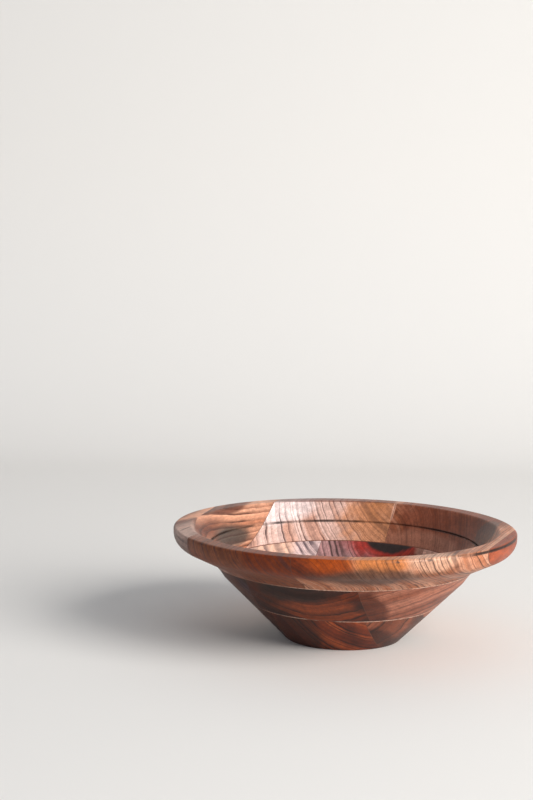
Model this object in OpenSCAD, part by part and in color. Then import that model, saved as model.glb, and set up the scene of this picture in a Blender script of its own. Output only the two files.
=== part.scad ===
// Turned bowl of three stacked, glued boards. Each board is edge-glued from planks.
// Origin at the middle of the foot, +Z up, millimetres.

/* [Bowl] */
// Outside diameter of the rim
rim_diameter = 300; // [288:2:320]
// Thickness of each of the three boards
board_thickness = 32.4; // [31:0.2:34]
// Diameter of the flat foot
foot_diameter = 103; // [90:1:110]
// Lean of the outer wall away from upright, degrees
wall_lean = 44.5; // [40:0.5:47]

/* [Rim] */
// Width of the flat top of the rim
rim_width = 15.6; // [12:0.2:20]
// Height of the upright band round the rim
rim_band = 2.5; // [1:0.5:6]
// Radius that rounds the rim from its band to its underside
rim_round = 14; // [9:0.5:15]
// Slope of the rim's underside above level, degrees
underside_slope = 26; // [20:1:32]
// How far the cove under the rim is cut in past the line of the wall
cove_depth = 5; // [2:0.5:6]
// Radius of the rim's outer top edge
outer_edge = 2.4; // [1:0.2:4]
// Radius of the rim's inner top edge
inner_edge = 1.6; // [1:0.2:3]

/* [Hollow] */
// Lean of the inner wall away from upright, degrees
hollow_lean = 45; // [42:0.5:47]
// Thickness of wood under the hollow
floor_thickness = 16; // [10:1:24]
// Radius of the corner where the inner wall meets the floor
floor_round = 14; // [6:1:20]
// Depth of the dish in the middle of the floor
floor_dish = 1.5; // [1:0.5:4]
// Height of the turned groove round the inside
groove_height = 81.5; // [78:0.5:86]
// Width of that groove, along the wall
groove_width = 1.6; // [1:0.1:2.4]

/* [Joints] */
// Direction of the grain and of the plank joints, degrees from +X
grain_angle = 68.5; // [0:0.5:180]
// Thickness of the two level glue lines
glue_line = 0.5; // [0.3:0.1:0.8]
// Thickness of the upright glue lines between planks
plank_glue = 0.3; // [0.2:0.1:0.5]
// Joint between the top board's left plank and its middle one
top_joint_left = -101; // [-104:1:-98]
// Joint between the top board's middle plank and its right one
top_joint_middle = 6; // [-20:1:30]
// Joint between the top board's right plank and the strip at its edge
top_joint_right = 141; // [138:1:142]
// Left joint of the middle board
middle_joint_left = -52; // [-60:1:-40]
// Right joint of the middle board
middle_joint_right = 47; // [40:1:60]
// Left joint of the bottom board
bottom_joint_left = -39; // [-50:1:-30]
// Right joint of the bottom board
bottom_joint_right = 43; // [30:1:50]

/* [Hidden] */
$fn = 240;

rim_radius = rim_diameter / 2;
foot_radius = foot_diameter / 2;
mouth_radius = rim_radius - rim_width;
board_step = board_thickness + glue_line;
bowl_height = 3 * board_thickness + 2 * glue_line;
foot_edge = 1;
arc_steps = 6;
reach = rim_diameter;

base_z = 0;
middle_z = board_step;
top_z = 2 * board_step;

// The upright band ends here, and the round under it begins
band_foot = bowl_height - outer_edge - rim_band;
// Centre of the round between the band and the underside
round_centre = [rim_radius - rim_round, band_foot];
// The underside leaves the round here and runs down to the wall
underside_top = round_centre + rim_round * [sin(underside_slope), -cos(underside_slope)];
// Where the underside's line crosses the wall's line
wall_step = tan(wall_lean);
crossing_z = (underside_top[0] - foot_radius - underside_top[1] / tan(underside_slope))
    / (wall_step - 1 / tan(underside_slope));
crossing = [foot_radius + wall_step * crossing_z, crossing_z];
// A cove joins the two lines: its ends lie this far down the wall and out along the underside
cove_down = 20;
cove_out = 5;
cove_wall = crossing - cove_down * [sin(wall_lean), cos(wall_lean)];
cove_rim = crossing + cove_out * [cos(underside_slope), sin(underside_slope)];
cove_corner = crossing - [cove_depth, 0];

// The inner wall leans out from the floor's round to the mouth
hollow_step = tan(hollow_lean);
function hollow_radius(z) = mouth_radius - (bowl_height - z) * hollow_step;
// Centre of the round between the inner wall and the floor
floor_z = floor_thickness;
floor_centre_z = floor_z + floor_dish + floor_round;
floor_centre = [
    hollow_radius(floor_centre_z) - floor_round / cos(hollow_lean), floor_centre_z
];

function arc(centre, radius, from, to, steps = arc_steps) = [
    for (i = [0 : steps]) let (a = from + (to - from) * i / steps)
        centre + radius * [cos(a), sin(a)]
];
function bend(from, corner, to, steps = arc_steps, first = 0) = [
    for (i = [first : steps]) let (t = i / steps)
        (1 - t) * (1 - t) * from + 2 * t * (1 - t) * corner + t * t * to
];

groove_centre = [hollow_radius(groove_height), groove_height];
groove_along = [sin(hollow_lean), cos(hollow_lean)] * groove_width / 2;
groove_into = [cos(hollow_lean), -sin(hollow_lean)] * groove_width / 2;

outside = concat(
    [[0, 0]],
    arc([foot_radius - foot_edge, foot_edge], foot_edge, -90, -wall_lean, 3),
    bend(cove_wall, cove_corner, cove_rim),
    arc(round_centre, rim_round, underside_slope - 90, 0),
    arc([rim_radius - outer_edge, bowl_height - outer_edge], outer_edge, 0, 90, 4)
);
inside = concat(
    bend([mouth_radius + inner_edge, bowl_height], [mouth_radius, bowl_height],
        [hollow_radius(bowl_height - inner_edge), bowl_height - inner_edge], 3),
    [groove_centre + groove_along, groove_centre + groove_into, groove_centre - groove_along],
    arc(floor_centre, floor_round, -hollow_lean, -90),
    bend([floor_centre[0], floor_z + floor_dish], [floor_centre[0] / 2, floor_z], [0, floor_z],
        first = 1)
);

// The whole turned shape, before it is divided into its boards and planks
module turned_shape() {
    rotate_extrude() polygon(concat(outside, inside));
}

// The part of the turned shape between two joints of one board.
// side is 1 for the back half, -1 for the front half and 0 for both.
module plank(z, from, to, side = 0) {
    intersection() {
        turned_shape();
        rotate(grain_angle - 90)
            translate([from, side > 0 ? 0 : -reach, z])
                cube([to - from, side == 0 ? 2 * reach : reach, board_thickness]);
    }
}

// A level glue line under the board that starts one glue line above z
module level_glue(z) {
    intersection() {
        turned_shape();
        translate([-reach, -reach, z]) cube([2 * reach, 2 * reach, glue_line]);
    }
}

// The upright glue lines of one board
module upright_glue(z, joints) {
    for (joint = joints)
        plank(z, joint - plank_glue / 2, joint + plank_glue / 2);
}

function left_of(joint) = joint - plank_glue / 2;
function right_of(joint) = joint + plank_glue / 2;

module base_plank_left() {
    color("#5a2c1a") plank(base_z, -reach, left_of(bottom_joint_left));
}
module base_plank_middle() {
    color("#7c3d20") plank(base_z, right_of(bottom_joint_left), left_of(bottom_joint_right));
}
module base_plank_right() {
    color("#9a5230") plank(base_z, right_of(bottom_joint_right), reach);
}

module middle_ring_left() {
    color("#53281a") plank(middle_z, -reach, left_of(middle_joint_left));
}
module middle_ring_front() {
    color("#8a4426") plank(middle_z, right_of(middle_joint_left), left_of(middle_joint_right), -1);
}
module middle_ring_back() {
    color("#8a4426") plank(middle_z, right_of(middle_joint_left), left_of(middle_joint_right), 1);
}
module middle_ring_right() {
    color("#a35a38") plank(middle_z, right_of(middle_joint_right), reach);
}

module top_ring_left() {
    color("#6a3420") plank(top_z, -reach, left_of(top_joint_left));
}
module top_ring_front() {
    color("#8c4a2a") plank(top_z, right_of(top_joint_left), left_of(top_joint_middle), -1);
}
module top_ring_back() {
    color("#b06a4a") plank(top_z, right_of(top_joint_left), left_of(top_joint_middle), 1);
}
module top_ring_right() {
    color("#b8683a") plank(top_z, right_of(top_joint_middle), left_of(top_joint_right));
}
module top_ring_edge_strip() {
    color("#a8481e") plank(top_z, right_of(top_joint_right), reach);
}

module lower_glue_line() {
    color("#d8b48c") level_glue(middle_z - glue_line);
}
module upper_glue_line() {
    color("#d8b48c") level_glue(top_z - glue_line);
}
module base_plank_glue() {
    color("#c89c74") upright_glue(base_z, [bottom_joint_left, bottom_joint_right]);
}
module middle_ring_glue() {
    color("#c89c74") upright_glue(middle_z, [middle_joint_left, middle_joint_right]);
}
module top_ring_glue() {
    color("#c89c74") upright_glue(top_z, [top_joint_left, top_joint_middle, top_joint_right]);
}

base_plank_left();
base_plank_middle();
base_plank_right();
middle_ring_left();
middle_ring_front();
middle_ring_back();
middle_ring_right();
top_ring_left();
top_ring_front();
top_ring_back();
top_ring_right();
top_ring_edge_strip();
lower_glue_line();
upper_glue_line();
base_plank_glue();
middle_ring_glue();
top_ring_glue();
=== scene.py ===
# %% [markdown]
# # A turned bowl of three glued boards
# The bowl was made by gluing planks edge to edge into boards, stacking three of those boards and
# turning the stack on a lathe. Here the order is the other way round: each board's outline is turned
# round the upright axis, then sawn into the planks that it was glued from. Every plank is its own
# solid, so the grain can change at each joint, as it does on the real bowl.

# %% Load the frame
from math import radians, sin, cos, tan

import bmesh
import bpy
from mathutils import Euler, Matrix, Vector


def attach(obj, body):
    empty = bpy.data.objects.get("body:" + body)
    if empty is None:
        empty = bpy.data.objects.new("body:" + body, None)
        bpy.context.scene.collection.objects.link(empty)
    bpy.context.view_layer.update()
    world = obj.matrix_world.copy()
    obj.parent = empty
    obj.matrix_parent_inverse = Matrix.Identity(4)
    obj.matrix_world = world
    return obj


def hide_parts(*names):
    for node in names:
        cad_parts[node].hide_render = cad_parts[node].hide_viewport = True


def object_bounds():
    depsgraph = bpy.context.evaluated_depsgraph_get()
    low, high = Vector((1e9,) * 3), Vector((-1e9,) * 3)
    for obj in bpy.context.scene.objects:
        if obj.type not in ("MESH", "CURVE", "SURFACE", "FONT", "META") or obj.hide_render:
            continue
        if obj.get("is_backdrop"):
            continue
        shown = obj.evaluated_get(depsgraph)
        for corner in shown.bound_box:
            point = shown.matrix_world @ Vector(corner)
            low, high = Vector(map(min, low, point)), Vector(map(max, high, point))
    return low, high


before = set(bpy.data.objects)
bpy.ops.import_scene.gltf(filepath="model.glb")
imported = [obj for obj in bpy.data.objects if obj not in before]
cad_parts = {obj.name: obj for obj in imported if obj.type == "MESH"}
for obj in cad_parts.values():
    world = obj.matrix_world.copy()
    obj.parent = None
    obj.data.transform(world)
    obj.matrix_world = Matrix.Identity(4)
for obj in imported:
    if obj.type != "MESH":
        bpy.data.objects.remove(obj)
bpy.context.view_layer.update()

MM = 0.001
scene = bpy.context.scene

# %% [markdown]
# ## The camera
# The bowl is seen from in front and a little above, through a short telephoto lens. It stands low
# and to the right in a tall picture, so the lens points above it and to its left instead of being
# shifted. The camera leans a touch, as one held by hand does.

# %% Camera
CAMERA_PLACE = Vector((-0.0702, -1.3475, 0.3446))
CAMERA_DOWN = radians(5.78)
CAMERA_LEAN = radians(0.84)

camera_data = bpy.data.cameras.new("camera")
camera_data.sensor_width = 36
camera_data.lens = 70
camera = bpy.data.objects.new("camera", camera_data)
camera.location = CAMERA_PLACE
turn_to_look = Euler((radians(90) - CAMERA_DOWN, 0, 0)).to_matrix()
lean = Euler((0, 0, CAMERA_LEAN)).to_matrix()
camera.rotation_euler = (turn_to_look @ lean).to_euler()
scene.collection.objects.link(camera)
scene.camera = camera
print("camera at", [round(v, 3) for v in camera.location])

# %% [markdown]
# ## Sizes from the frame
# The three boards' levels and the planks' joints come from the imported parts, so the shapes made
# here always meet them. Only what the frame can't tell, such as how the rim is rounded, is stated
# again. All the joints run with the grain, so one turned ruler laid across it measures every plank.

# %% Sizes
GRAIN = radians(68.5)
ACROSS = Vector((sin(GRAIN), -cos(GRAIN), 0))
WALL_LEAN = radians(44.5)
RIM_WIDTH = 15.6 * MM
RIM_BAND = 2.5 * MM
RIM_ROUND = 14 * MM
UNDERSIDE_SLOPE = radians(26)
COVE_DEPTH = 5 * MM
COVE_DOWN = 20 * MM
COVE_OUT = 5 * MM
OUTER_EDGE = 2.4 * MM
INNER_EDGE = 1.6 * MM
FOOT_RADIUS = 51.5 * MM
FOOT_EDGE = 1 * MM
FLOOR = 16 * MM
FLOOR_DISH = 1.5 * MM
FLOOR_ROUND = 14 * MM
GROOVE_HEIGHT = 81.5 * MM
GROOVE_WIDTH = 1.6 * MM


def reach(node, direction):
    """How far a CAD node's lowest and highest points lie along a direction."""
    steps = [v.co.dot(direction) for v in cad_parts[node].data.vertices]
    return min(steps), max(steps)


def level(node):
    return reach(node, Vector((0, 0, 1)))


rim_radius = max(v.co.xy.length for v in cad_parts["top_ring_right"].data.vertices)
bowl_height = level("top_ring_left")[1]
mouth_radius = rim_radius - RIM_WIDTH
LEVELS = {
    "base": level("base_plank_middle"),
    "middle": level("middle_ring_left"),
    "top": level("top_ring_left"),
}
print("rim radius, mm:", round(rim_radius / MM, 2))
print("board levels, mm:", {k: [round(z / MM, 2) for z in v] for k, v in LEVELS.items()})

# %% [markdown]
# ## The outline
# A turner's template: half of the bowl's section, as distances from the axis against heights. Flat
# stretches are straight, and the rim's edges, its rolled underside and the cove below are arcs or
# smooth bends. Both walls lean close to 45 degrees.

# %% Outline
def point(r, z):
    return Vector((r, z))


def arc(centre, radius, start, end, steps=10):
    turns = [start + (end - start) * i / steps for i in range(steps + 1)]
    return [centre + radius * point(cos(a), sin(a)) for a in turns]


def bend(start, corner, end, steps=12):
    parts = [i / steps for i in range(steps + 1)]
    return [(1 - t) ** 2 * start + 2 * t * (1 - t) * corner + t * t * end for t in parts]


def outside_outline():
    """From the middle of the foot, out and up to the top of the rim."""
    round_centre = point(rim_radius - RIM_ROUND, bowl_height - OUTER_EDGE - RIM_BAND)
    slope = point(cos(UNDERSIDE_SLOPE), sin(UNDERSIDE_SLOPE))
    underside = round_centre + RIM_ROUND * point(slope.y, -slope.x)
    run = 1 / tan(UNDERSIDE_SLOPE)
    height = (underside.x - FOOT_RADIUS - underside.y * run) / (tan(WALL_LEAN) - run)
    crossing = point(FOOT_RADIUS + tan(WALL_LEAN) * height, height)
    wall = point(sin(WALL_LEAN), cos(WALL_LEAN))
    foot = point(FOOT_RADIUS - FOOT_EDGE, FOOT_EDGE)
    edge = point(rim_radius - OUTER_EDGE, bowl_height - OUTER_EDGE)
    return [
        point(0, 0),
        *arc(foot, FOOT_EDGE, radians(-90), -WALL_LEAN, 4),
        *bend(crossing - COVE_DOWN * wall, crossing - point(COVE_DEPTH, 0), crossing + COVE_OUT * slope),
        *arc(round_centre, RIM_ROUND, UNDERSIDE_SLOPE - radians(90), 0, 14),
        *arc(edge, OUTER_EDGE, 0, radians(90)),
    ]


def inside_outline():
    """From the top of the rim, down the hollow to the middle of its floor."""
    def wall(z):
        return point(mouth_radius - (bowl_height - z), z)

    lip = point(mouth_radius, bowl_height)
    groove = wall(GROOVE_HEIGHT)
    along = point(1, 1).normalized() * GROOVE_WIDTH / 2
    into = point(1, -1).normalized() * GROOVE_WIDTH / 2
    floor_height = FLOOR + FLOOR_DISH + FLOOR_ROUND
    floor_centre = wall(floor_height) - point(FLOOR_ROUND / cos(radians(45)), 0)
    return [
        *bend(lip + point(INNER_EDGE, 0), lip, wall(bowl_height - INNER_EDGE), 8),
        groove + along,
        groove + into,
        groove - along,
        *arc(floor_centre, FLOOR_ROUND, radians(-45), radians(-90)),
        *bend(point(floor_centre.x, FLOOR + FLOOR_DISH), point(floor_centre.x / 2, FLOOR),
              point(0, FLOOR))[1:],
    ]


print("outline points:", len(outside_outline()), "outside,", len(inside_outline()), "inside")

# %% [markdown]
# ## One outline for each board
# The template is cut at the boards' levels. Where a skin ends on a joint, a hair's breadth is taken
# off the corner, which leaves the fine line that shows where two boards meet. Long straight runs
# get extra points, so that the turned skin can carry the slight waviness of handwork.

# %% Board outlines
EASED = 0.15 * MM
SKIN_STEP = 2.2 * MM


def between(path, low, high):
    """The stretch of a path from one height to another."""
    found = []
    for a, b in zip(path, path[1:]):
        if low <= a.y <= high and not found:
            found.append(a)
        for z in (low, high) if b.y > a.y else (high, low):
            if min(a.y, b.y) < z < max(a.y, b.y):
                found.append(a.lerp(b, (z - a.y) / (b.y - a.y)))
        if low <= b.y <= high:
            found.append(b)
    return found


def eased(path, wood_side, start, end):
    """The path with its corners on a joint eased; wood_side is the way into the wood, -1 or 1."""
    def corner(tip, beside):
        return [tip + (beside - tip).normalized() * EASED, tip + point(wood_side * EASED, 0)]

    head = corner(path[0], path[1])[::-1] if start else path[:1]
    tail = corner(path[-1], path[-2]) if end else path[-1:]
    return [*head, *path[1:-1], *tail]


def spaced(path):
    """The path with points added wherever two are further apart than the skin's step."""
    found = [path[0]]
    for a, b in zip(path, path[1:]):
        parts = max(1, round((b - a).length / SKIN_STEP))
        found += [a.lerp(b, (i + 1) / parts) for i in range(parts)]
    return found


def board_outline(board):
    """The section of a board: up its outer skin, then down its inner one."""
    low, high = LEVELS[board]
    up = between(outside_outline(), low, high)
    down = between(inside_outline(), low, high)
    has_below, has_above = board != "base", board != "top"
    loop = eased(up, -1, has_below, has_above) + eased(down, 1, has_above, has_below)
    return spaced(loop + loop[:1])[:-1] if has_below else spaced(loop)


def glue_outline(low, high, sink):
    """The section of a level glue line, its edges sunk a little below the skins."""
    up = between(outside_outline(), low, high)
    down = between(inside_outline(), low, high)
    return [p - point(sink, 0) for p in up] + [p + point(sink, 0) for p in down]


for board in LEVELS:
    print(board, "board: an outline of", len(board_outline(board)), "points")

# %% [markdown]
# ## Building node trees in a script
# A long tree is easier to read when each node takes one line. These helpers add a node, set it up and
# link or fill its inputs, so that a sum of two sockets reads like a sum. Geometry and material trees
# both use them.

# %% Tree helpers
def new_tree(name, sockets):
    """A node tree with one geometry output and the named inputs; returns it with its two ends."""
    tree = bpy.data.node_groups.new(name, "GeometryNodeTree")
    tree.interface.new_socket("Geometry", in_out="OUTPUT", socket_type="NodeSocketGeometry")
    for label, kind, start in sockets:
        socket = tree.interface.new_socket(label, in_out="INPUT", socket_type=f"NodeSocket{kind}")
        if start is not None:
            socket.default_value = start
    return tree, tree.nodes.new("NodeGroupInput"), tree.nodes.new("NodeGroupOutput")


def put(tree, kind, values=None, **settings):
    """Adds a node, with its settings, and fills its inputs with sockets to link or plain values."""
    node = tree.nodes.new(kind)
    for name, value in settings.items():
        setattr(node, name, value)
    for key, value in (values or {}).items():
        if isinstance(value, bpy.types.NodeSocket):
            tree.links.new(value, node.inputs[key])
        else:
            node.inputs[key].default_value = value
    return node


def calc(tree, operation, *values):
    """What a math node makes of some numbers."""
    return put(tree, "ShaderNodeMath", dict(enumerate(values)), operation=operation).outputs[0]


def vec(tree, operation, *values):
    """What a vector math node makes of some vectors."""
    return put(tree, "ShaderNodeVectorMath", dict(enumerate(values)), operation=operation).outputs[0]


def length(tree, value):
    return put(tree, "ShaderNodeVectorMath", {0: value}, operation="LENGTH").outputs["Value"]


print("helpers: new_tree, put, calc, vec, length")

# %% [markdown]
# ## A tree that turns and saws
# The bowl follows one rule, so one Geometry Nodes tree makes every piece of it. It lays a grid,
# reads the outline's points for the grid's rows, and swings each column of points round the axis.
# A screw modifier could turn the outline too, but it can't saw. A slow noise then moves the skin
# toward the axis by up to a fifth of a millimetre, as uneven as a hand-held gouge leaves it, and the
# bowl stays inside its outer outline. Last, the tree keeps only what lies between two joints, by
# intersecting the ring with a slab that is turned to the grain.

# %% The turning tree
# A joint this far from the axis misses the bowl
NOT_SAWN = 0.2
SLAB_LENGTH = 0.4
WAVES_PER_METRE = 16.0
WAVE_TOP = 0.85
NICKS_PER_METRE = 210.0
# Edges that fold more sharply than this stay crisp
ARRIS = radians(28)


def turning_tree():
    tree, start, end = new_tree("turned_plank", [
        ("Outline", "Geometry", None), ("Turns", "Int", 720), ("Closed", "Int", 1),
        ("Sawn", "Bool", True), ("From", "Float", -NOT_SAWN), ("To", "Float", NOT_SAWN),
        ("Half", "Float", 0.0),
        ("Grain", "Float", 0.0), ("Waviness", "Float", 0.0), ("Nicks", "Float", 0.0),
        ("Rim Radius", "Float", 0.15), ("Rim Height", "Float", 0.1), ("Material", "Material", None),
    ])
    given = start.outputs

    # A grid with a row for each outline point and a column for each turn
    rows = put(tree, "GeometryNodeAttributeDomainSize", {0: given["Outline"]}, component="MESH").outputs[0]
    all_rows = calc(tree, "ADD", rows, given["Closed"])
    columns = calc(tree, "ADD", given["Turns"], 1)
    grid = put(tree, "GeometryNodeMeshGrid", {"Vertices X": columns, "Vertices Y": all_rows})
    index = put(tree, "GeometryNodeInputIndex").outputs[0]
    row = calc(tree, "MODULO", calc(tree, "MODULO", index, all_rows), rows)
    place = put(tree, "GeometryNodeInputPosition").outputs[0]
    outline = put(tree, "GeometryNodeSampleIndex", {0: given["Outline"], "Value": place, "Index": row},
                  data_type="FLOAT_VECTOR").outputs[0]
    turned = calc(tree, "DIVIDE", calc(tree, "FLOOR", calc(tree, "DIVIDE", index, all_rows)), given["Turns"])
    angle = calc(tree, "MULTIPLY", turned, radians(360))
    ring = put(tree, "ShaderNodeVectorRotate", {"Vector": outline, "Angle": angle}, rotation_type="Z_AXIS")
    shaped = put(tree, "GeometryNodeSetPosition", {0: grid.outputs[0], "Position": ring.outputs[0]})
    closed = put(tree, "GeometryNodeMergeByDistance", {0: shaped.outputs[0], "Distance": 1e-6})

    # The gouge's slow waviness, always toward the axis
    outward = vec(tree, "NORMALIZE", vec(tree, "MULTIPLY", place, (1, 1, 0)))
    slow = put(tree, "ShaderNodeTexNoise", {"Vector": place, "Scale": WAVES_PER_METRE, "Detail": 1.0})
    push = calc(tree, "MULTIPLY", calc(tree, "SUBTRACT", slow.outputs[0], WAVE_TOP), given["Waviness"])
    # Small nicks along the rim's sharpest edge
    radius = length(tree, vec(tree, "MULTIPLY", place, (1, 1, 0)))
    height = put(tree, "ShaderNodeSeparateXYZ", {0: place}).outputs[2]
    across = calc(tree, "SUBTRACT", given["Rim Radius"], radius)
    down = calc(tree, "SUBTRACT", given["Rim Height"], height)
    near_edge = put(tree, "ShaderNodeMapRange", {
        "Value": calc(tree, "ADD", across, down), "From Min": 1.5 * MM, "From Max": 3.5 * MM,
        "To Min": 1.0, "To Max": 0.0}).outputs[0]
    coarse = put(tree, "ShaderNodeTexNoise", {"Vector": place, "Scale": NICKS_PER_METRE, "Detail": 2.0})
    chipped = put(tree, "ShaderNodeMapRange", {
        "Value": coarse.outputs[0], "From Min": 0.56, "From Max": 0.74, "To Max": given["Nicks"]}).outputs[0]
    nick = calc(tree, "MULTIPLY", near_edge, chipped)
    move = put(tree, "ShaderNodeVectorMath", {0: outward, "Scale": calc(tree, "SUBTRACT", push, nick)},
               operation="SCALE").outputs[0]
    waved = put(tree, "GeometryNodeSetPosition", {0: closed.outputs[0], "Offset": move})

    # The slab between two joints, turned to the grain
    width = calc(tree, "SUBTRACT", given["To"], given["From"])
    middle = calc(tree, "MULTIPLY", calc(tree, "ADD", given["To"], given["From"]), 0.5)
    slab = put(tree, "GeometryNodeMeshCube", {
        "Size": put(tree, "ShaderNodeCombineXYZ", {0: width, 1: SLAB_LENGTH, 2: SLAB_LENGTH}).outputs[0]})
    beside = put(tree, "ShaderNodeCombineXYZ", {
        0: middle, 1: calc(tree, "MULTIPLY", given["Half"], SLAB_LENGTH / 2)})
    laid = put(tree, "GeometryNodeTransform", {0: slab.outputs[0], "Translation": beside.outputs[0]})
    turn = put(tree, "ShaderNodeCombineXYZ", {2: calc(tree, "SUBTRACT", given["Grain"], radians(90))})
    aimed = put(tree, "GeometryNodeTransform", {0: laid.outputs[0], "Rotation": turn.outputs[0]})
    sawn = put(tree, "GeometryNodeMeshBoolean", operation="INTERSECT", solver="MANIFOLD")
    tree.links.new(waved.outputs[0], sawn.inputs["Mesh 2"])
    tree.links.new(aimed.outputs[0], sawn.inputs["Mesh 2"])
    kept = put(tree, "GeometryNodeSwitch", {"Switch": given["Sawn"], "False": waved.outputs[0],
                                            "True": sawn.outputs[0]}, input_type="GEOMETRY")

    # Smooth skins with crisp arrises
    smooth = put(tree, "GeometryNodeSetShadeSmooth", {0: kept.outputs[0]})
    fold = put(tree, "GeometryNodeInputMeshEdgeAngle").outputs[0]
    crisp = put(tree, "GeometryNodeSetShadeSmooth", {
        0: smooth.outputs[0], "Selection": calc(tree, "GREATER_THAN", fold, ARRIS),
        "Shade Smooth": False}, domain="EDGE")
    real = put(tree, "GeometryNodeRealizeInstances", {0: crisp.outputs[0]})
    done = put(tree, "GeometryNodeSetMaterial", {0: real.outputs[0], "Material": given["Material"]})
    tree.links.new(done.outputs[0], end.inputs[0])
    return tree


turned_plank = turning_tree()
print("turning tree:", len(turned_plank.nodes), "nodes")

# %% [markdown]
# ## Building materials in a script
# Every finish here is a Principled shader with its colour, roughness and bump made by nodes. The
# helpers below start such a material, turn a colour's code into the linear colour that shaders
# take, and wrap the three nodes that are used most: noise, map range and mix.

# %% Material helpers
def new_material(name):
    material = bpy.data.materials.new(name)
    material.use_nodes = True
    tree = material.node_tree
    tree.nodes.clear()
    output = tree.nodes.new("ShaderNodeOutputMaterial")
    shader = tree.nodes.new("ShaderNodeBsdfPrincipled")
    tree.links.new(shader.outputs[0], output.inputs[0])
    return material, tree, shader


def colour(code):
    """An sRGB hex code as the linear colour that a shader takes."""
    parts = [int(code[i:i + 2], 16) / 255 for i in (0, 2, 4)]
    return (*[p / 12.92 if p <= 0.04045 else ((p + 0.055) / 1.055) ** 2.4 for p in parts], 1)


def noise(tree, where, scale, detail=2.0, roughness=0.5, line=None):
    """Noise from 0 to 1 in space, or along one value when line is given."""
    if line is not None:
        values = {"W": line, "Scale": scale, "Detail": detail, "Roughness": roughness}
        return put(tree, "ShaderNodeTexNoise", values, noise_dimensions="1D").outputs[0]
    values = {"Vector": where, "Scale": scale, "Detail": detail, "Roughness": roughness}
    return put(tree, "ShaderNodeTexNoise", values).outputs[0]


def span(tree, value, low, high, to_low=0.0, to_high=1.0, smooth=True):
    """Maps a value's stretch from low to high onto another stretch, held at its ends."""
    kind = "SMOOTHSTEP" if smooth else "LINEAR"
    return put(tree, "ShaderNodeMapRange", {"Value": value, "From Min": low, "From Max": high,
                                            "To Min": to_low, "To Max": to_high},
               interpolation_type=kind).outputs[0]


def mixed(tree, amount, a, b, how="MIX"):
    """Two colours mixed by an amount from 0 to 1."""
    node = put(tree, "ShaderNodeMix", data_type="RGBA", blend_type=how)
    for socket, value in ((node.inputs[0], amount), (node.inputs[6], a), (node.inputs[7], b)):
        if isinstance(value, bpy.types.NodeSocket):
            tree.links.new(value, socket)
        else:
            socket.default_value = value
    return node.outputs[2]


print("helpers: new_material, colour, noise, span, mixed")

# %% [markdown]
# ## Growth rings
# Wood is solid all through, so its figure is best made as a solid too: the tree's growth rings are
# nested sleeves round a pith line, and each turned surface cuts them where it happens to pass. That
# gives long arcs on the walls, stripes across the rim and a dark eye where the wall cuts the heart,
# all from one rule. The planks keep one direction, so their shared coordinates are millimetres
# across the grain, along it and up. An image wrapped round the bowl could not do this.

# %% Growth rings
ALONG_GRAIN = (1, 0.3, 1)
SMALL_BENDS = 1.3


def plank_place(tree):
    """The place on the bowl in metres, and in millimetres across the grain, along it and up."""
    place = put(tree, "ShaderNodeTexCoord").outputs["Object"]
    turned = put(tree, "ShaderNodeMapping", {
        "Vector": place, "Rotation": (0, 0, radians(90) - GRAIN), "Scale": (1000, 1000, 1000)})
    return place, turned.outputs[0]


def bend_wood(tree, plank, seed, warp):
    """Slow bends of the trunk, then small ones; both are drawn out along the grain."""
    stretched = vec(tree, "MULTIPLY", vec(tree, "ADD", plank, (seed, 0, seed)), ALONG_GRAIN)
    bent = plank
    for scale, detail, size in ((0.016, 1.0, warp), (0.085, 2.0, SMALL_BENDS)):
        wander = put(tree, "ShaderNodeTexNoise", {"Vector": stretched, "Scale": scale, "Detail": detail})
        centred = vec(tree, "SUBTRACT", wander.outputs[1], (0.5, 0.5, 0.5))
        bent = vec(tree, "ADD", bent, vec(tree, "MULTIPLY", centred, (2 * size, 0, 2 * size)))
    return stretched, bent


def ring_count(tree, bent, pith, drift, spacing, seed):
    """How many rings lie between a point and the pith line; no two are equally wide."""
    across, along, up = put(tree, "ShaderNodeSeparateXYZ", {0: bent}).outputs
    sideways, upwards = [
        calc(tree, "SUBTRACT", calc(tree, "SUBTRACT", value, start), calc(tree, "MULTIPLY", along, lean))
        for value, start, lean in ((across, pith[0], drift[0]), (up, pith[1], drift[1]))]
    from_pith = length(tree, put(tree, "ShaderNodeCombineXYZ", {0: sideways, 2: upwards}).outputs[0])
    rings = calc(tree, "ADD", calc(tree, "DIVIDE", from_pith, spacing), seed)
    return calc(tree, "ADD", rings, calc(tree, "MULTIPLY", noise(tree, None, 0.7, 1.0, line=rings), 1.3))


def late_wood(tree, rings, stretched, width):
    """The dark end of each ring: some years are strong, and some barely show."""
    phase = calc(tree, "FRACT", rings)
    rising = calc(tree, "MULTIPLY", span(tree, phase, 0.97 - width, 0.92), span(tree, phase, 1.0, 0.95))
    years = noise(tree, None, 3.7, 0.0, line=calc(tree, "FLOOR", rings))
    fading = span(tree, noise(tree, stretched, 0.05, 2.0), 0.30, 0.60, 0.4, 1.0)
    strong = calc(tree, "MULTIPLY", rising, span(tree, years, 0.28, 0.52, 0.3, 1.0))
    return calc(tree, "MULTIPLY", strong, fading)


def patch(tree, bent, centre, radii, strength, softness=0.3, raggedness=0.6):
    """How far a point lies in an egg-shaped cloud of colour, from 0 outside it to strength inside.

    softness is how wide its edge is and raggedness how uneven, as shares of its radii.
    """
    far = length(tree, vec(tree, "DIVIDE", vec(tree, "SUBTRACT", bent, centre), radii))
    streaks = noise(tree, vec(tree, "MULTIPLY", bent, (1, 0.12, 1)), 0.09, 2.0)
    uneven = calc(tree, "MULTIPLY", calc(tree, "SUBTRACT", streaks, 0.5), raggedness)
    return span(tree, calc(tree, "ADD", far, uneven), 1 + softness, 1 - softness, 0.0, strength)


print("grain runs at", round(GRAIN / radians(1), 1), "degrees")

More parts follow.
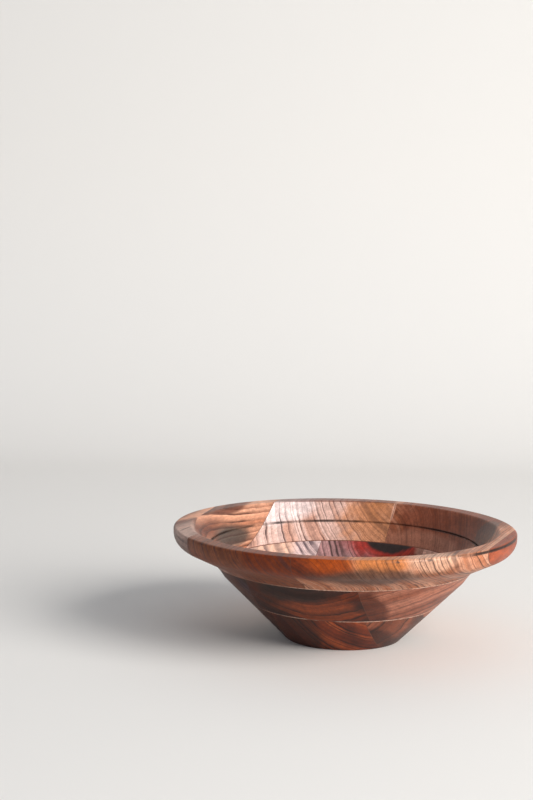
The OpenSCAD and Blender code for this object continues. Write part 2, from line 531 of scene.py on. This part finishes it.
# %% [markdown]
# ## Wax and a dark line
# Years of oiling leave dark wax in the inner groove, and a broken dark line runs under the rim's
# outer edge, darkest toward the front right. Painting them by hand would need an unwrapped surface,
# so both are masks made from the bowl's own measures, from 0 where the wood keeps its colour to 1
# where it is dark.

# %% Wax and dark line
WAX_BREAKS_PER_METRE = 34.0
DARK_LINE_BREAKS_PER_METRE = 110.0
# Radius less height is 36 mm on the inner wall and 51 mm on the outer one
HALFWAY_OUT = 44 * MM
WAX_END, WAX_FULL = 1.4 * MM, 0.5 * MM
DARK_LINE_IN, DARK_LINE_DOWN = 0.4 * MM, 1.6 * MM
DARK_LINE_END, DARK_LINE_FULL = 1.7 * MM, 0.6 * MM
# Where the line under the rim is darkest, and how far that reaches, in plank millimetres
DARKEST_SPOT, DARKEST_SIZE = (142, -30, 97), (30, 50, 12)


def around(tree, place):
    """Distance from the bowl's axis, and height."""
    across, away, up = put(tree, "ShaderNodeSeparateXYZ", {0: place}).outputs
    return length(tree, put(tree, "ShaderNodeCombineXYZ", {0: across, 1: away}).outputs[0]), up


def groove_wax(tree, place, radius, height):
    inside = span(tree, calc(tree, "SUBTRACT", radius, height), HALFWAY_OUT, HALFWAY_OUT - 1 * MM)
    away = calc(tree, "ABSOLUTE", calc(tree, "SUBTRACT", height, GROOVE_HEIGHT))
    amount = span(tree, noise(tree, place, WAX_BREAKS_PER_METRE, 3.0, 0.6), 0.35, 0.60, 0.3, 0.85)
    return calc(tree, "MULTIPLY", calc(tree, "MULTIPLY", inside, amount),
                span(tree, away, WAX_END, WAX_FULL))


# Darkens a broken line just under the rim's outer edge, most at the front right
def rim_dark_line(tree, place, plank, radius, height):
    gap = length(tree, put(tree, "ShaderNodeCombineXYZ", {
        0: calc(tree, "SUBTRACT", radius, rim_radius - DARK_LINE_IN),
        1: calc(tree, "SUBTRACT", height, bowl_height - DARK_LINE_DOWN)}).outputs[0])
    broken = span(tree, noise(tree, place, DARK_LINE_BREAKS_PER_METRE, 3.0, 0.6), 0.54, 0.66, 0.0, 0.8)
    darkest_part = patch(tree, plank, DARKEST_SPOT, DARKEST_SIZE, 0.95)
    return calc(tree, "MULTIPLY", span(tree, gap, DARK_LINE_END, DARK_LINE_FULL), calc(tree, "MAXIMUM", broken, darkest_part))


print("groove at", round(GROOVE_HEIGHT / MM, 1), "mm")

# %% [markdown]
# ## The wood
# This oiled tropical wood ranges from cream to nearly black in one plank. Ground colours run in
# bands that follow the rings and in slow clouds across them; tints shift the ground of a part of
# the plank, late wood is drawn over them, and patches of heartwood lie on top. A soft mottle,
# fibres and pores are drawn out along the grain, and fine turning marks run round the axis.

# %% Wood
PORE_TONE = "1c0f0b"
WAX_AND_LINE_TONE = "241814"
BUMP_DEPTH = 0.12 * MM


def wood(name, pith, pale, warm, deep, dark="2b1d1c", drift=(0, 0), spacing=5.8, warp=5.0, lines=0.85,
         width=0.45, depth=0.5, seed=0.0, tints=(), hearts=(), smears=()):
    """Wood with growth rings round a pith line; lengths in millimetres.

    pith is where the line crosses the bowl's middle, across and up; drift is how it leans as it
    runs along the grain. pale, warm and deep are the ground, dark the late wood; lines is how
    strong that is, width its share of a ring, and depth how much deep colour there is. A tint is
    (centre, radii, colour, strength, how much it hushes the lines). A heart and a smear have the
    first four; a heart bends with the rings, and a smear lies on the finished surface.
    """
    material, tree, shader = new_material(name)
    place, plank = plank_place(tree)
    stretched, bent = bend_wood(tree, plank, seed, warp)
    rings = ring_count(tree, bent, pith, drift, spacing, seed)

    # Ground, its tints, the late wood and the heartwood
    band = calc(tree, "MAXIMUM", span(tree, noise(tree, None, 0.33, 2.0, line=rings), 0.36, 0.62),
                calc(tree, "MULTIPLY", calc(tree, "FRACT", rings), 0.6))
    cloud = span(tree, noise(tree, stretched, 0.022, 2.0), 0.66 - 0.3 * depth, 0.84 - 0.3 * depth)
    ground = mixed(tree, cloud, mixed(tree, band, colour(pale), colour(warm)), colour(deep))
    strength = calc(tree, "MULTIPLY", late_wood(tree, rings, stretched, width), lines)
    fine = span(tree, noise(tree, None, 3.1, 1.0, line=rings), 0.52, 0.66, 0.0, 0.30)
    for centre, radii, tone, amount, hush in tints:
        share = patch(tree, bent, centre, radii, amount)
        darker = (*[c * 0.55 for c in colour(tone)[:3]], 1)
        banded = mixed(tree, calc(tree, "MULTIPLY", band, 0.5), colour(tone), darker)
        ground = mixed(tree, share, ground, banded)
        strength = calc(tree, "MULTIPLY", strength, span(tree, share, 0, 1, 1, 1 - hush, smooth=False))
    figure = mixed(tree, calc(tree, "MAXIMUM", strength, fine), ground, colour(dark))
    for centre, radii, tone, amount in hearts:
        figure = mixed(tree, patch(tree, bent, centre, radii, amount, 0.09, 0.2), figure, colour(tone))
    for centre, radii, tone, amount in smears:
        figure = mixed(tree, patch(tree, plank, centre, radii, amount, 0.2, 0.2), figure, colour(tone))

    # Mottle, fibres and pores
    fibres = noise(tree, vec(tree, "MULTIPLY", plank, (1, 0.045, 1)), 1.1, 3.0, 0.65)
    pores = span(tree, noise(tree, vec(tree, "MULTIPLY", plank, (1, 0.09, 1)), 2.3, 1.0), 0.64, 0.76)
    mottle = noise(tree, vec(tree, "MULTIPLY", plank, (1, 0.35, 1)), 0.24, 3.0, 0.6)
    shade = calc(tree, "MULTIPLY", span(tree, fibres, 0.3, 0.7, 0.80, 1.18, smooth=False),
                 span(tree, mottle, 0.32, 0.68, 0.80, 1.20, smooth=False))
    light = put(tree, "ShaderNodeCombineColor", {0: shade, 1: shade, 2: shade}).outputs[0]
    toned = mixed(tree, 1.0, figure, light, "MULTIPLY")
    porous = mixed(tree, calc(tree, "MULTIPLY", pores, 0.45), toned, colour(PORE_TONE))

    # Groove wax and the dark line under the rim
    radius, height = around(tree, place)
    wax_and_dark_line = calc(tree, "MAXIMUM", groove_wax(tree, place, radius, height),
                rim_dark_line(tree, place, plank, radius, height))
    tree.links.new(mixed(tree, wax_and_dark_line, porous, colour(WAX_AND_LINE_TONE)), shader.inputs["Base Color"])

    # Turning marks follow radius plus height, which grows steadily along every skin of the bowl
    travel = calc(tree, "MULTIPLY", calc(tree, "ADD", radius, height), 1000)
    marks = calc(tree, "MULTIPLY", noise(tree, None, 0.9, 2.0, line=travel), 0.5)
    relief = calc(tree, "SUBTRACT", calc(tree, "ADD", calc(tree, "MULTIPLY", fibres, 0.35), marks),
                  calc(tree, "MULTIPLY", pores, 0.6))
    bump = put(tree, "ShaderNodeBump", {"Height": relief, "Strength": 0.35, "Distance": BUMP_DEPTH})
    gloss = calc(tree, "ADD", span(tree, fibres, 0.2, 0.8, 0.36, 0.52), calc(tree, "MULTIPLY", pores, 0.2))
    tree.links.new(gloss, shader.inputs["Roughness"])
    tree.links.new(bump.outputs[0], shader.inputs["Normal"])
    shader.inputs["Specular IOR Level"].default_value = 0.22
    shader.inputs["Coat Weight"].default_value = 0.04
    shader.inputs["Coat Roughness"].default_value = 0.25
    return material


# %% [markdown]
# ## The glue's finish
# Squeezed-out glue dries pale on the outside, here and there. Inside the bowl the finish has stained it
# brown, and toward the left the pale is turned down as painted shade, away from the window. The upright
# lines are close to the wood's own colour. One noise decides where it stayed pale, and a finer one
# breaks it up with grime.

# %% The glue material
def dry_glue(name, pale, brown, paleness):
    """Glue that is pale in places on the outside; paleness, from 0 to 1, is how much of it."""
    material, tree, shader = new_material(name)
    place = put(tree, "ShaderNodeTexCoord").outputs["Object"]
    radius, height = around(tree, place)
    outside = span(tree, calc(tree, "SUBTRACT", radius, height), HALFWAY_OUT - 1 * MM, HALFWAY_OUT)
    across = put(tree, "ShaderNodeSeparateXYZ", {0: place}).outputs[0]
    # Painted shade: the pale glue fades toward the left, away from the window light
    unstained_and_lit = calc(tree, "MULTIPLY", outside, span(tree, across, -80 * MM, -20 * MM, 0.2, 1.0))
    clean = span(tree, noise(tree, place, 22.0, 3.0, 0.6), 0.62 - 0.3 * paleness, 0.72 - 0.3 * paleness)
    grime = span(tree, noise(tree, place, 420.0, 2.0), 0.35, 0.7, 0.0, 0.6)
    line = mixed(tree, calc(tree, "MULTIPLY", clean, unstained_and_lit), colour(brown), colour(pale))
    tree.links.new(mixed(tree, grime, line, colour(brown)), shader.inputs["Base Color"])
    shader.inputs["Roughness"].default_value = 0.6
    return material


# %% [markdown]
# ## The planks' woods
# No two planks came from the same part of a tree. The base is dark and plain. The middle board has a
# black heart with a red edge, and the top board runs from cream at the back to orange at the front.
# Each plank gets a row of its own here: where its pith lies, how wide its rings are, its ground
# colours from pale to deep, and the tints, hearts and smears that lie in it. A few of them are
# painted light: a near-white highlight high on the inner wall at the back left, a greyish sheen on
# the rim's top and band at the left, and shade under the rim at the front right. The two pieces
# that the hollow leaves of one middle plank share its material, so their figure matches.

# %% Woods
WOODS = {
    "base_left": wood("base_left_wood", pith=(3, 95), seed=3,
                      pale="562510", warm="411a09", deep="2e1008", dark="160907"),
    "base_middle": wood("base_middle_wood", pith=(60, 70), seed=11,
                        pale="b45628", warm="7a3012", deep="4a1a0c", dark="1e0d0a", lines=1.0,
                        tints=[((-20, -65, 15), (24, 60, 40), "381408", 0.85, 0)]),
    "base_right": wood("base_right_wood", pith=(-20, 98), seed=17,
                       pale="945238", warm="6e3620", deep="482012", dark="200e0b",
                       tints=[((47, -58, 14), (9, 60, 12), "3c180e", 0.85, 0)]),
    "middle_left": wood("middle_left_wood", pith=(3, 124), spacing=5.0, width=0.6, warp=3, seed=23,
                        pale="5c3019", warm="43200c", deep="2e1408", dark="4c3a42", lines=0.9,
                        tints=[((-75, 60, 55), (42, 80, 35), "f2d0ca", 0.95, 0),
                               ((-86, 45, 52), (15, 60, 30), "f0ba9a", 0.8, 0)]),
    "middle_middle": wood("middle_middle_wood", pith=(3, 103), drift=(0, -0.27), spacing=4.6, width=0.6,
                          warp=4, seed=31, pale="863a16", warm="5a220c", deep="3a1408", dark="150d0b",
                          tints=[((-32, 85, 55), (34, 60, 30), "bc8e8c", 0.85, 0),
                                 ((-45, -90, 46), (30, 60, 30), "3e1a0a", 0.8, 0),
                                 ((5, -98, 43), (38, 40, 7), "964622", 0.5, 0),
                                 ((-6, -108, 60), (34, 40, 9), "33201a", 0.85, 0.3),
                                 ((5, 95, 74), (42, 75, 22), "b23022", 0.95, 0.8),
                                 ((48, 92, 62), (10, 60, 20), "c08872", 0.95, 0.6)],
                          hearts=[((10, 95, 74), (29, 70, 17), "282522", 0.97)]),
    "middle_right": wood("middle_right_wood", pith=(28, 185), spacing=3.4, width=0.6, lines=0.6, seed=37,
                         pale="b8775e", warm="90543e", deep="693525", dark="32191a",
                         tints=[((49, -88, 44), (14, 50, 20), "5a240e", 0.85, 0.2),
                                ((50, 90, 60), (60, 60, 34), "e0aa94", 0.95, 0.5)]),
    "top_left": wood("top_left_wood", pith=(-98, 205), spacing=4.2, width=0.75, warp=8, seed=41,
                     pale="e4a888", warm="b06c4c", deep="6a3826", dark="3a1c14", depth=0.7,
                     tints=[((-128, 40, 99), (9, 70, 4), "5c2618", 0.85, 0),
                            # Painted reflection: this greyish tint on the rim's band at the front left stands
                            # in for the pale wall's sheen
                            ((-100, -110, 88), (35, 60, 20), "987c72", 0.75, 0.3),
                            ((-116, 14, 78), (15, 34, 9), "4c443c", 0.9, 0)],
                     # Painted sheen: the first, pale greyish smear along the rim's top at the left stands in
                     # for a reflection
                     smears=[((-113, -75, 100), (22, 75, 5), "c8a494", 0.5),
                            ((-120, -73, 98), (0.6, 12, 2), "2a1612", 0.95)]),
    "top_middle": wood("top_middle_wood", pith=(49, 150), drift=(-0.075, 0), spacing=4.8, warp=2.5,
                       depth=0.3, lines=0.95, seed=47, pale="e6c4b8", warm="c69480", deep="b07452",
                       dark="3e2829",
                       # Painted highlight: the first, near-white tint, high on the inner wall at the back
                       # left, stands in for the window's sheen
                       tints=[((-93, 88, 93), (28, 70, 13), "ffe6e0", 0.9, 0.1),
                              ((4, 120, 88), (44, 60, 45), "c88050", 0.85, 0.6),
                              ((-30, -160, 88), (130, 90, 60), "80401c", 0.97, 0.1),
                              ((5, -155, 92), (50, 30, 16), "7c3008", 0.9, 0.1)],
                       smears=[((5.5, 128, 93), (1.1, 40, 9), "dca58c", 0.75),
                               ((-60, 140, 98.6), (70, 60, 1.6), "6e4034", 0.75)]),
    "top_right": wood("top_right_wood", pith=(-10, 58), spacing=3.3, warp=3, width=0.35, lines=0.95, seed=53,
                      pale="cc967a", warm="b06c4a", deep="8c4e2e", dark="351c17",
                      tints=[((65, 110, 88), (66, 60, 46), "803c22", 0.9, 0.75),
                             ((50, 100, 70), (45, 60, 9), "ac7058", 0.8, 0.5),
                             ((20, -160, 92), (48, 27, 30), "782c06", 0.97, 0.3),
                             ((38, -146, 97), (20, 20, 11), "ae4a0c", 0.9, 0.3),
                             ((77, -132, 98), (26, 24, 11), "cc7a40", 0.92, 0.3),
                             ((112, -108, 98), (22, 28, 12), "e4b092", 0.85, 0),
                             # Painted shade: this grey-brown tint under the rim at the front right stands in
                             # for the rim's shadow
                             ((74, -146, 82), (50, 50, 10), "5a4034", 0.85, 0.2)],
                      hearts=[((113, 58, 90), (14, 26, 14), "58423a", 0.6)],
                      smears=[((6.5, 128, 93), (0.8, 40, 9), "dca58c", 0.6)]),
    "top_strip": wood("top_strip_wood", pith=(60, 150), spacing=9, lines=0.25, seed=59,
                      pale="a85434", warm="904326", deep="76341e"),
}
LEVEL_GLUE = dry_glue("level_glue", "f4cdb6", "6e3c26", 0.8)
UPRIGHT_GLUE = dry_glue("upright_glue", "84543a", "54301e", 0.2)
print("woods:", len(WOODS))

# %% [markdown]
# ## Turning and sawing the planks
# Each piece gets its board's outline, the turning tree and its own two joints, read from the CAD
# part that it stands for. The result is taken as a plain mesh, so the tree isn't left on the piece,
# and its faces are split into triangles at once.
# A free side is left well clear of the wood, so nothing is sawn off there. Where the hollow cuts a
# plank in two, the slab is moved to the back or to the front, so it keeps one half.

# %% Make the pieces
CLEAR = 20 * MM
SOCKETS = {item.name: item.identifier for item in turned_plank.interface.items_tree
           if item.in_out == "INPUT"}


def outline_object(name, outline):
    """The outline as a string of points, for the tree to turn."""
    mesh = bpy.data.meshes.new(name)
    edges = [(i, i + 1) for i in range(len(outline) - 1)]
    mesh.from_pydata([(p.x, 0, p.y) for p in outline], edges, [])
    piece = bpy.data.objects.new(name, mesh)
    scene.collection.objects.link(piece)
    return piece


def split_faces(mesh):
    """Makes every face triangles; a many-sided sawn face can fold onto itself if it is split later."""
    work = bmesh.new()
    work.from_mesh(mesh)
    bmesh.ops.triangulate(work, faces=work.faces, quad_method="FIXED")
    work.to_mesh(mesh)
    work.free()


def turned_mesh(name, outline, **values):
    """Runs the turning tree on an outline; values are the tree's inputs by name."""
    template = outline_object(name, outline)
    modifier = template.modifiers.new("turned_plank", "NODES")
    modifier.node_group = turned_plank
    settings = {"Grain": GRAIN, "Rim Radius": rim_radius, "Rim Height": bowl_height, **values}
    for label, value in settings.items():
        modifier[SOCKETS[label]] = value
    depsgraph = bpy.context.evaluated_depsgraph_get()
    mesh = bpy.data.meshes.new_from_object(template.evaluated_get(depsgraph))
    bpy.data.objects.remove(template)
    mesh.name = name
    split_faces(mesh)
    return mesh


def finished(name, mesh, node):
    """Puts a piece in the scene in place of its CAD node."""
    piece = bpy.data.objects.new(name, mesh)
    scene.collection.objects.link(piece)
    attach(piece, "root")
    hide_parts(node)
    print(name, "-", len(mesh.polygons), "faces")
    return piece


# Node: board, wood, slot, which half of the board (back 1, front -1, both 0) and its free sides
PLANKS = {
    "base_plank_left": ("base", "base_left", "wood_dark", 0, (True, False)),
    "base_plank_middle": ("base", "base_middle", "wood_heart", 0, (False, False)),
    "base_plank_right": ("base", "base_right", "wood_pale", 0, (False, True)),
    "middle_ring_left": ("middle", "middle_left", "wood_dark", 0, (True, False)),
    "middle_ring_front": ("middle", "middle_middle", "wood_heart", -1, (False, False)),
    "middle_ring_back": ("middle", "middle_middle", "wood_heart", 1, (False, False)),
    "middle_ring_right": ("middle", "middle_right", "wood_pale", 0, (False, True)),
    "top_ring_left": ("top", "top_left", "wood_dark", 0, (True, False)),
    "top_ring_front": ("top", "top_middle", "wood_heart", -1, (False, False)),
    "top_ring_back": ("top", "top_middle", "wood_heart", 1, (False, False)),
    "top_ring_right": ("top", "top_right", "wood_pale", 0, (False, False)),
    "top_ring_edge_strip": ("top", "top_strip", "wood_red", 0, (False, True)),
}
WAVINESS = 0.25 * MM
NICKS = 0.5 * MM

for node, (board, grown, slot, half, free) in PLANKS.items():
    low, high = reach(node, ACROSS)
    mesh = turned_mesh(f"turned_{node}", board_outline(board), **{
        "Closed": int(board != "base"), "From": low - CLEAR * free[0], "To": high + CLEAR * free[1],
        "Half": float(half), "Waviness": WAVINESS, "Nicks": NICKS, "Material": WOODS[grown]})
    finished(f"turned_{node}", mesh, node)

# %% [markdown]
# ## The glue lines
# Two level glue lines lie between the boards, and thin upright ones between the planks of a board.
# The same tree turns them. The level ones are sunk a few hundredths of a millimetre below the skin,
# so each shows as a fine line at the foot of the eased joint. The upright ones are thin slices of the
# board's own outline.

# %% Glue lines
GLUE_SUNK = 0.06 * MM
GLUED_BOARDS = {"base_plank_glue": "base", "middle_ring_glue": "middle", "top_ring_glue": "top"}

for node in ("lower_glue_line", "upper_glue_line"):
    low, high = level(node)
    mesh = turned_mesh(f"turned_{node}", glue_outline(low, high, GLUE_SUNK), **{
        "Sawn": False, "Waviness": WAVINESS, "Material": LEVEL_GLUE})
    finished(f"turned_{node}", mesh, node)


def joints_of(board):
    """The two sides of each upright glue line of a board, across the grain."""
    sides = sorted(reach(node, ACROSS) for node, row in PLANKS.items() if row[0] == board)
    gaps = {(round(a[1], 6), round(b[0], 6)) for a in sides for b in sides if 0 < b[0] - a[1] < 1 * MM}
    return sorted(gaps)


for node, board in GLUED_BOARDS.items():
    strips = bmesh.new()
    for low, high in joints_of(board):
        strip = turned_mesh(node, board_outline(board), **{
            "Closed": int(board != "base"), "From": low, "To": high, "Waviness": WAVINESS,
            "Nicks": NICKS, "Material": UPRIGHT_GLUE})
        strips.from_mesh(strip)
    joined = bpy.data.meshes.new(f"turned_{node}")
    strips.to_mesh(joined)
    strips.free()
    joined.materials.append(UPRIGHT_GLUE)
    finished(f"turned_{node}", joined, node)

# %% [markdown]
# ## Floor, wall and light
# The bowl stands on a plain pale floor that sweeps up into a plain wall. Daylight from one big
# window in front and to the right is a large soft area light. It stands well back, so that the
# light is even across the floor, and its narrowed spread keeps the wall from glaring. A faint blue
# sky fills the shadows.

# %% Stage
FLOOR_GAP = 0.1 * MM


def sweep(name, width=12.0, front=6.0, back=1.5, height=2.4, bend_radius=0.5, steps=16):
    """A floor that curves up into a wall behind the bowl."""
    mesh = bpy.data.meshes.new(name)
    turns = [radians(90) * i / steps for i in range(steps + 1)]
    curve = [(back - bend_radius + bend_radius * sin(a), bend_radius - bend_radius * cos(a) - FLOOR_GAP)
             for a in turns]
    path = [(-front, -FLOOR_GAP), *curve, (back, height)]
    mesh.from_pydata([(x * width / 2, y, z) for y, z in path for x in (-1, 1)], [],
                     [(2 * i, 2 * i + 1, 2 * i + 3, 2 * i + 2) for i in range(len(path) - 1)])
    for face in mesh.polygons:
        face.use_smooth = True
    sheet = bpy.data.objects.new(name, mesh)
    scene.collection.objects.link(sheet)
    sheet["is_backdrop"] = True
    return sheet


def plain_paint(name, tone):
    material, _, shader = new_material(name)
    shader.inputs["Base Color"].default_value = colour(tone)
    shader.inputs["Roughness"].default_value = 0.85
    shader.inputs["Specular IOR Level"].default_value = 0.1
    return material


floor = sweep("floor")
floor.data.materials.append(plain_paint("pale_floor", "e6e3df"))


def soft_light(name, place, aim, size, power, tone, spread):
    light = bpy.data.lights.new(name, "AREA")
    light.shape = "RECTANGLE"
    light.size, light.size_y = size
    light.energy = power
    light.color = tone
    light.spread = spread
    lamp = bpy.data.objects.new(name, light)
    lamp.location = place
    lamp.rotation_euler = (Vector(aim) - Vector(place)).to_track_quat("-Z", "Y").to_euler()
    scene.collection.objects.link(lamp)
    return lamp


window = soft_light("window", place=(2.47, -1.8, 1.48), aim=(0, 0, 0.05), size=(2.1, 2.22), power=82,
                    tone=(1.0, 0.98, 0.95), spread=radians(120))
sky = bpy.data.worlds.new("sky")
sky.use_nodes = True
sky.node_tree.nodes["Background"].inputs["Color"].default_value = (0.80, 0.86, 0.95, 1)
sky.node_tree.nodes["Background"].inputs["Strength"].default_value = 0.42
scene.world = sky
scene.view_settings.view_transform = "Standard"
print("window light:", window.data.energy, "W")

# %% [markdown]
# ## The bowl's box
# The finished bowl is meant to stay inside the CAD model's box and nearly fill it, so its own
# box is printed.

# %% Finish
low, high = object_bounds()
print("visual box, mm:", [round(v / MM, 1) for v in (*low, *high)])
